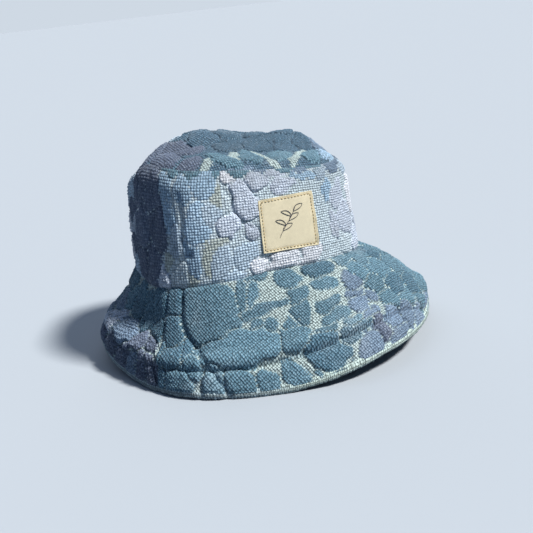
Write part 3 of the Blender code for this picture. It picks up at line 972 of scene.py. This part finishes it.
def brim_panel(side, first, last, motifs, seed, material):
    rows = np.linspace(1.01, -0.02, detail(150, 80))
    angle, share = panel_grid(first, last, detail(590, 300), rows)
    near, _ = head_ring(angle)
    far, _ = edge_ring(angle)
    radius = near + (far - near) * share
    grain = cone_grain(angle, (first + last) / 2, radius)
    found = pattern(
        motifs,
        lambda at, down: (turned(angle - math.radians(at)) * radius, (down - share) * BRIM_RUN),
        grain,
        FINE_LOOP,
        seed,
    )
    ends = np.minimum(angle - first, last - angle) * radius
    name, base, rim = f"brim_{side}_terry", brim_surface(angle, share), np.minimum(share, (1 - share) * 2)
    made = sewn_panel(name, base, ends, rim, 1.0 * MM, found, grain, material)
    return made


def tip_panel(material):
    angle, share = square_over_tip(detail(300, 150))
    base = tip_surface(angle, share)
    grain = base[..., :2] - np.array([TIP_SHIFT, 0.0])
    height, colour, pile = pattern(
        tip_motifs(), lambda x, y: (grain[..., 0] - x * MM, grain[..., 1] - y * MM), grain, FINE_LOOP, 3
    )
    fade = 0.25 + 0.75 * smooth(1 - share, 0.0, 0.05)
    made = panel("crown_tip_terry", base, height * fade, colour, grain, pile, material)
    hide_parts("crown_tip_outer")


def terry_panels():
    crown = terry_material("terry_crown", 0.46)
    brim = terry_material("terry_brim", 0.85, LOOP / FINE_LOOP)
    top = terry_material("terry_top", 0.75, LOOP / FINE_LOOP)
    for make, side, first, motifs, seed, material, node, slot in (
        (band_panel, "front", -QUARTER, front_band_motifs, 1, crown, "side_band_front_outer", "terry_crown"),
        (band_panel, "rear", QUARTER, rear_band_motifs, 2, crown, "side_band_rear_outer", "terry_crown"),
        (brim_panel, "front", -BRIM_SEAM, front_brim_motifs, 7, brim, "brim_upper_front", "terry_brim"),
        (brim_panel, "rear", math.pi - BRIM_SEAM, rear_brim_motifs, 8, brim, "brim_upper_rear", "terry_brim"),
    ):
        made = make(side, first + SEAM_GAP, first + math.pi - SEAM_GAP, motifs(), seed, material)
        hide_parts(node)
    tip_panel(top)


# ---------------------------------------------------------------- edge, under brim and lining


def edge_roll(material):
    """The turned edge: a soft roll of towelling loops, pale teal lightened as painted light for a sunlit rim,
    and bare mint at the front's right.
    """
    columns, rows = detail(1500, 700), detail(26, 18)
    angle = np.linspace(0, 2 * math.pi, columns + 1)[:-1]
    spin = np.linspace(0, 2 * math.pi, rows + 1)[:-1]
    angle, spin = np.meshgrid(angle, spin)
    half_out, half_up, below, past = 2.5 * MM, 3.4 * MM, 3.0 * MM, 1.008
    centre = under_brim(angle, np.full(angle.shape, past), np.full(angle.shape, below))
    outward = np.stack([np.sin(angle), -np.cos(angle), 0 * angle], -1)
    grain = np.stack([angle * edge_ring(angle)[0], spin * 3.1 * MM], -1)
    _, chance = weave_cells(grain, LOOP, 77)
    swell = 1 + 0.16 * loop_tops(grain, LOOP) * (0.5 + chance) + 0.10 * np.sin(23 * angle) * np.sin(7 * angle)
    points = centre + outward * (half_out * np.cos(spin) * swell)[..., None]
    points[..., 2] = np.maximum(points[..., 2] + half_up * np.sin(spin) * swell, 0.3 * MM)
    mesh = new_mesh("brim_edge_terry", points, grid_faces(rows, columns, True, flip=True, ring=True))
    degrees = np.degrees(turned(angle))
    mint = (smooth(degrees, -30, -12) * smooth(-degrees, -150, -120))[..., None]
    # Painted light: the teal away from the mint is lightened, standing in for sun on the rim.
    colour = srgb(166, 186, 192) * (1 - mint) + srgb(192, 212, 206) * mint
    colour = colour * (0.8 + 0.3 * chance)[..., None]
    paint(mesh, colour.reshape(-1, 3), grain.reshape(-1, 2), np.full((rows * columns, 1), 0.3))
    made = piece("brim_edge_terry", mesh, material)
    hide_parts("brim_edge_roll")


def brim_layer(name, first, last, depth, thick, wrinkle, material, under, seed):
    """One of the brim's hidden or under layers, a plain sheet with rows of stitches."""
    rows = np.linspace(0.985, 0.02, detail(60, 30))
    angle, share = panel_grid(first, last, detail(300, 150), rows)
    random = np.random.default_rng(seed)
    waves = sum(
        random.uniform(0.4, 1.0) * np.sin(random.integers(4, 16) * angle + random.integers(2, 9) * share + k)
        for k in range(5)
    )
    base = under_brim(angle, share, depth - wrinkle * waves / 3)
    grain = cone_grain(angle, (first + last) / 2, HEAD_RADIUS + (BRIM_Y - HEAD_RADIUS) * share)
    _, chance = weave_cells(grain, LOOP, seed)
    rows_of_stitches = bell((share * BRIM_RUN / STITCH_ROWS) % 1, 0.5, 0.06)
    colour = DYES["mint"] * (0.82 + 0.26 * chance)[..., None]
    dent = -wrinkle * 1.2 * rows_of_stitches
    made = panel(name, base, dent, colour, grain, np.zeros(angle.shape), material, thick, skip=4)
    return made


def brim_layers():
    under = terry_material("terry_under", 0.8, 1.3)
    stiff = weave_material("interlining_weave", srgb(232, 231, 226), 0.9 * MM, 0.10 * MM)
    for side, first in (("front", -BRIM_SEAM), ("rear", math.pi - BRIM_SEAM)):
        for layer, depth, thick, wrinkle, material, slot, rest, seed in (
            ("interlining", 3.9 * MM, 0.5 * MM, 0.05 * MM, stiff, "interlining", f"brim_{side}_under", 31),
            ("under", 5.0 * MM, 2.0 * MM, 0.35 * MM, under, "terry_under", "brim_edge_terry", 32),
        ):
            span = first + UNDER_GAP, first + math.pi - UNDER_GAP
            made = brim_layer(f"brim_{side}_{layer}", *span, depth, thick, wrinkle, material, rest, seed)
            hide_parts(f"brim_{layer}_{side}")


def inner_band(name, first, last, shares, depth, thick, wrinkle, material, seed, closed=False):
    """A sheet on the inside of the crown's side, between two shares of its height, this deep in it."""
    columns, rows = detail(360, 180), detail(70, 40)
    turn = np.linspace(first, last, columns, endpoint=not closed)
    angle, share = np.meshgrid(turn, np.linspace(*shares, rows))
    random = np.random.default_rng(seed)
    waves = sum(
        random.uniform(0.3, 1.0)
        * np.sin(random.integers(3, 14) * angle + random.uniform(-3, 3) * share * 3 + k * 1.7)
        * np.sin(math.pi * share + random.uniform(0, 0.6))
        for k in range(6)
    )
    held = np.clip(share, 0.04, 0.92)
    point = band_surface(angle, held)
    point[..., 2] += (share - held) * CROWN_RISE
    inward = np.stack([-np.sin(angle), np.cos(angle), 0 * angle], -1)
    base = point + inward * (depth + wrinkle * (waves / 3 + 1))[..., None]
    grain = np.stack([angle * HEAD_RADIUS, share * CROWN_RISE], -1)
    return plain_panel(name, base, "cream", grain, material, thick, 6, closed)


def lining():
    """The cotton lining of the crown, the tape round the head and a blank tag at the back."""
    plain = weave_material("lining_cotton", srgb(228, 224, 214), 0.7 * MM, 0.12 * MM)
    tape = weave_material("sweatband_twill", srgb(219, 213, 200), 1.1 * MM, 0.22 * MM, twill=True)
    ribbon = weave_material("tag_ribbon", srgb(238, 238, 234), 0.5 * MM, 0.06 * MM, sheen=0.2)
    for side, first, seed in (("front", -QUARTER, 41), ("rear", QUARTER, 42)):
        span = first + LINING_GAP, first + math.pi - LINING_GAP
        name = f"lining_side_{side}_cotton"
        sizes = {"depth": 4.4 * MM, "thick": LINING_THICK, "wrinkle": 0.5 * MM}
        made = inner_band(name, *span, (0.03, 0.90), **sizes, material=plain, seed=seed)
        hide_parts(f"lining_side_{side}")
    whole = 0, 2 * math.pi
    sizes = {"depth": 6.8 * MM, "thick": 0.9 * MM, "wrinkle": 0.25 * MM}
    made = inner_band("sweatband_tape", *whole, (0, 0.31), **sizes, material=tape, seed=43, closed=True)
    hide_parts("sweatband")
    angle, share = square_over_tip(detail(110, 60))
    inset, below = 0.92, 5.9
    point = tip_surface(angle, share * inset)
    folds = 0.20 * np.sin(9 * angle) * share**2 + 0.24 * np.sin(7 * share + 3 * angle)
    point[..., 2] -= (below + folds) * MM
    made = plain_panel("lining_tip_cotton", point, "cream", point[..., :2], plain, LINING_THICK, 5)
    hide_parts("lining_tip")
    half = half_size("size_tag_blank", 0) / HEAD_RADIUS
    span = math.pi - half, math.pi + half
    sizes = {"depth": 7.0 * MM, "thick": LINING_THICK, "wrinkle": 0.15 * MM}
    made = inner_band("size_tag_ribbon", *span, (0.33, 0.60), **sizes, material=ribbon, seed=44)
    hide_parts("size_tag_blank")


# ---------------------------------------------------------------- label


def inside_label(across, up):
    """Distance from the label's nearest edge."""
    return np.minimum(LABEL_HALF - np.abs(across), LABEL_HALF - np.abs(up))


def label_surface(across, up, lift=0.0):
    """A point on the label, whose middle is at (0, 0), lifted off the towelling's raised petals."""
    across, up = np.asarray(across), np.asarray(up)
    angle = LABEL_MIDDLE + (across + up * LABEL_LEAN) / LABEL_RADIUS
    rise = LABEL_RISE + 0.055 * up / LABEL_HALF
    radius, height, shift = crown_slope(angle, LABEL_SHARE + (up + across * rise) / CROWN_RISE)
    # The edges are drawn down by the stitches and pucker; the middle stands a little proud.
    edge = inside_label(across, up)
    pucker = np.sin(across / (3.1 * MM)) + np.sin(up / (2.9 * MM) + 1)
    out = 0.35 * pucker * np.exp(-edge / (3.0 * MM)) - 0.20 * bell(edge, STITCH_INSET, 1.1 * MM)
    out = out + 0.4 * np.sin(across / (13 * MM) + 0.7) * np.sin(up / (17 * MM) + 0.3)
    out = out + 0.5 * bell(edge, 0.0, 1.1 * MM) * (0.3 + 0.7 * (up < 0))
    return ray(angle, radius + LABEL_LIFT + out * MM + lift, height, shift)


def stitching_line(along):
    """A place on the stitching line; along runs from 0 to 1 round the label."""
    half = LABEL_HALF - STITCH_INSET
    side, rest = divmod(along * 4, 1)
    step = (rest * 2 - 1) * half
    return ((step, -half), (half, step), (-step, half), (-half, -step))[int(side) % 4]


def label_patch():
    line = np.linspace(-LABEL_HALF, LABEL_HALF, detail(150, 80))
    across, up = np.meshgrid(line, line)
    # Corners are slightly rounded, and the cut edges fray.
    rounding = 1 - 0.012 * (np.abs(across * up) / LABEL_HALF**2) ** 4
    fray = (0.22 * np.sin(across / (0.8 * MM)) + 0.18 * np.sin(up / (0.7 * MM))) * MM
    across = across * rounding + fray * (np.abs(up) > LABEL_HALF * 0.995)
    up = up * rounding + fray * (np.abs(across) > LABEL_HALF * 0.995)
    worn = 0.3 * np.exp(-np.maximum(inside_label(across, up), 0) / (1.6 * MM))[..., None]
    colour = srgb(223, 213, 183) * (1 - worn) + srgb(218, 202, 154) * worn
    grain, level = np.stack([across, up], -1), 0 * across
    base = label_surface(across, up)
    made = panel("label_cotton", base, level, colour, grain, level, label_material(), 0.7 * MM, skip=6)
    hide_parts("label_patch")


def label_material():
    """Cream cotton: a fine plain weave, slightly slubby, yellowed towards its edges."""
    n = Nodes("label_cream_cotton")
    place = n.place()
    turn = 2 * math.pi * LOOP / (0.62 * MM)
    across, along, _ = (n.maths("SINE", n.maths("MULTIPLY", part, turn)) for part in n.grain())
    over = n.scaled(n.maths("MULTIPLY", across, along), 0.5, 0.5)
    slub = n.noise(place, 320.0, 4.0)
    tone = n.vary(n.scaled(over, 0.14, 0.88), slub, 0.16, 0.92)
    tone = n.vary(tone, n.noise(place, 60.0, 3.0), 0.16, 0.92)
    colour = n.shaded(n.attribute("dye", "Color"), tone)
    normal = n.bump(n.scaled(slub, 0.6, over), 0.12 * MM, 0.8)
    return n.finish(colour, n.scaled(slub, 0.12, 0.72), normal, 0.1)


def tube_along(points, radius, sides=8):
    """Vertices and faces of a thread with rounded ends along a short line of points."""
    points = np.asarray(points)
    tangent = np.gradient(points, axis=0)
    tangent /= np.linalg.norm(tangent, axis=1, keepdims=True)
    first = np.cross(tangent, np.array([0.15, -1.0, 0.1]))  # any direction out of the cloth will do
    first /= np.linalg.norm(first, axis=1, keepdims=True)
    second = np.cross(tangent, first)
    count = len(points)
    taper = np.sin(math.pi * np.linspace(0.10, 0.90, count)) ** 0.5
    spin = np.linspace(0, 2 * math.pi, sides + 1)[:-1]
    ring = first[:, None] * np.cos(spin)[None, :, None] + second[:, None] * np.sin(spin)[None, :, None]
    verts = points[:, None] + ring * (radius * taper)[:, None, None]
    ends = [list(range(sides))[::-1], [(count - 1) * sides + c for c in range(sides)]]
    return verts.reshape(-1, 3), grid_faces(count, sides, True) + ends


def joined_threads(name, runs, radius, material):
    """Many short threads in one mesh."""
    points, faces, start = [], [], 0
    for run in runs:
        verts, rings = tube_along(run, radius)
        points.append(verts)
        faces += [[start + v for v in ring] for ring in rings]
        start += len(verts)
    return piece(name, new_mesh(name, np.concatenate(points), faces), material)


def label_stitches():
    """Running stitches round the label, each one dipping into the cloth at both ends."""
    total = 8 * (LABEL_HALF - STITCH_INSET)
    count, usual, top, dip = 60, 1.95 * MM, 0.62 * MM, 2.6 * MM
    runs = []
    random = np.random.default_rng(9)
    for k in range(count):
        middle = (k + 0.5) / count * total
        length = usual * random.uniform(0.88, 1.1)
        skew = random.uniform(-0.15, 0.15) * MM
        run = []
        for t in np.linspace(-0.5, 0.5, 7):
            across, up = stitching_line((middle + t * length) % total / total)
            run.append(label_surface(across + skew * t, up, top - dip * t * t))
        runs.append(run)
    thread = thread_material("label_thread", srgb(216, 192, 142))
    made = joined_threads("label_stitches", runs, 0.29 * MM, thread)
    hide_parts("label_stitching")


def bezier(points, t):
    a, b, c, d = points
    return (1 - t) ** 3 * a + 3 * t * (1 - t) ** 2 * b + 3 * t * t * (1 - t) * c + t**3 * d


def label_sprig():
    """A plain embroidered sprig in dark thread, in place of the lettering."""
    runs = []

    def stroke(points):
        points = np.array(points) * MM
        runs.append([label_surface(*bezier(points, t), 0.30 * MM) for t in np.linspace(0, 1, 18)])

    stroke([(-9, -12), (-4, -2), (2, 2), (7, 13)])
    for x, y, side in ((-5.6, -6.4, 1), (-2.6, -2.0, -1), (0.6, 1.6, 1), (3.0, 5.2, -1), (5.0, 9.0, 1)):
        tip = (x + 8.5 * side, y + 5.5)
        stroke([(x, y), (x + 3.0 * side, y + 1.2), (x + 7.4 * side, y + 1.5 + 2 * (side < 0)), tip])
        stroke([(x, y), (x + 0.6 * side, y + 4.4), (x + 4.0 * side, y + 6.8), tip])
    thread = thread_material("sprig_thread", srgb(70, 72, 82))
    made = joined_threads("label_sprig", runs, 0.26 * MM, thread)


# ---------------------------------------------------------------- camera, light and floor


def add_camera():
    """Off the wearer's right front, a little above the brim, turned so that the hat leans."""
    azimuth, elevation, roll = math.radians(-23.0), math.radians(13.7), math.radians(7.0)
    distance, lens = 0.85, 65.4
    back = direction(azimuth, elevation)
    right = Vector((math.cos(azimuth), math.sin(azimuth), 0.0))
    up = back.cross(right)
    image_right = right * math.cos(roll) - up * math.sin(roll)
    image_up = right * math.sin(roll) + up * math.cos(roll)
    target = Vector((0.0, 0.0, HEAD_HEIGHT + 10.5 * MM))
    place = target + back * distance
    # It aims past the hat's middle, so that the hat stands left of the picture's middle and above it.
    aim = target + image_right * 16.7 * MM - image_up * 24.0 * MM
    back = (place - aim).normalized()
    image_right = (image_right - back * image_right.dot(back)).normalized()
    image_up = back.cross(image_right)
    camera = bpy.data.objects.new("camera", bpy.data.cameras.new("camera"))
    bpy.context.scene.collection.objects.link(camera)
    camera.data.lens = lens
    camera.data.sensor_width = 36.0
    camera.data.clip_start = 0.05
    turn = Matrix((image_right, image_up, back)).transposed().to_4x4()
    camera.matrix_world = Matrix.Translation(place) @ turn
    bpy.context.scene.camera = camera


def add_world():
    """A pale backdrop to look at, and a dimmer sky of the same colour for light."""
    world = bpy.data.worlds.new("pale_studio")
    bpy.context.scene.world = world
    world.use_nodes = True
    tree = world.node_tree
    tree.nodes.clear()
    kinds = "Background", "Background", "LightPath", "MixShader", "OutputWorld"
    seen, sky, path, mix, out = (tree.nodes.new("ShaderNode" + kind) for kind in kinds)
    seen.inputs["Color"].default_value = colour4(srgb(207, 217, 228))
    sky.inputs["Color"].default_value = colour4(srgb(156, 186, 230))
    sky.inputs["Strength"].default_value = SKY_STRENGTH
    tree.links.new(path.outputs["Is Camera Ray"], mix.inputs[0])
    tree.links.new(sky.outputs[0], mix.inputs[1])
    tree.links.new(seen.outputs[0], mix.inputs[2])
    tree.links.new(mix.outputs[0], out.inputs[0])


def add_sun(name, azimuth, elevation, spread, power, colour):
    lamp = bpy.data.lights.new(name, "SUN")
    lamp.angle = math.radians(spread)
    lamp.energy = power
    lamp.color = colour
    made = bpy.data.objects.new(name, lamp)
    towards = direction(math.radians(azimuth), math.radians(elevation))
    made.rotation_euler = towards.to_track_quat("Z", "Y").to_euler()
    bpy.context.scene.collection.objects.link(made)


def add_floor():
    """A wide pale floor. To bounced light it is darker, so that the hat's shaded side stays shaded."""
    bpy.ops.mesh.primitive_circle_add(vertices=96, radius=60, fill_type="NGON")
    floor = bpy.context.object
    floor.name = "stage_floor"
    n = Nodes("pale_floor")
    path = n.add("ShaderNodeLightPath").outputs["Is Camera Ray"]
    colour = n.mix("MIX", path, colour4(srgb(120, 130, 142)), colour4(srgb(*FLOOR_COLOUR)))
    n.fill(n.shader, Base_Color=colour, Roughness=1.0, Specular_IOR_Level=0.0)
    floor.data.materials.append(n.material)


def main():
    bpy.context.scene.view_settings.view_transform = "Standard"
    add_camera()
    terry_panels()
    edge_roll(terry_material("terry_edge", 0.8))
    brim_layers()
    lining()
    label_patch()
    label_stitches()
    label_sprig()
    add_floor()
    add_world()
    add_sun("key", 33, 50, 9, 5.0, (1.0, 0.975, 0.94))
    add_sun("back_fill", 170, 38, 70, 0.75, (0.94, 0.97, 1.0))


main()
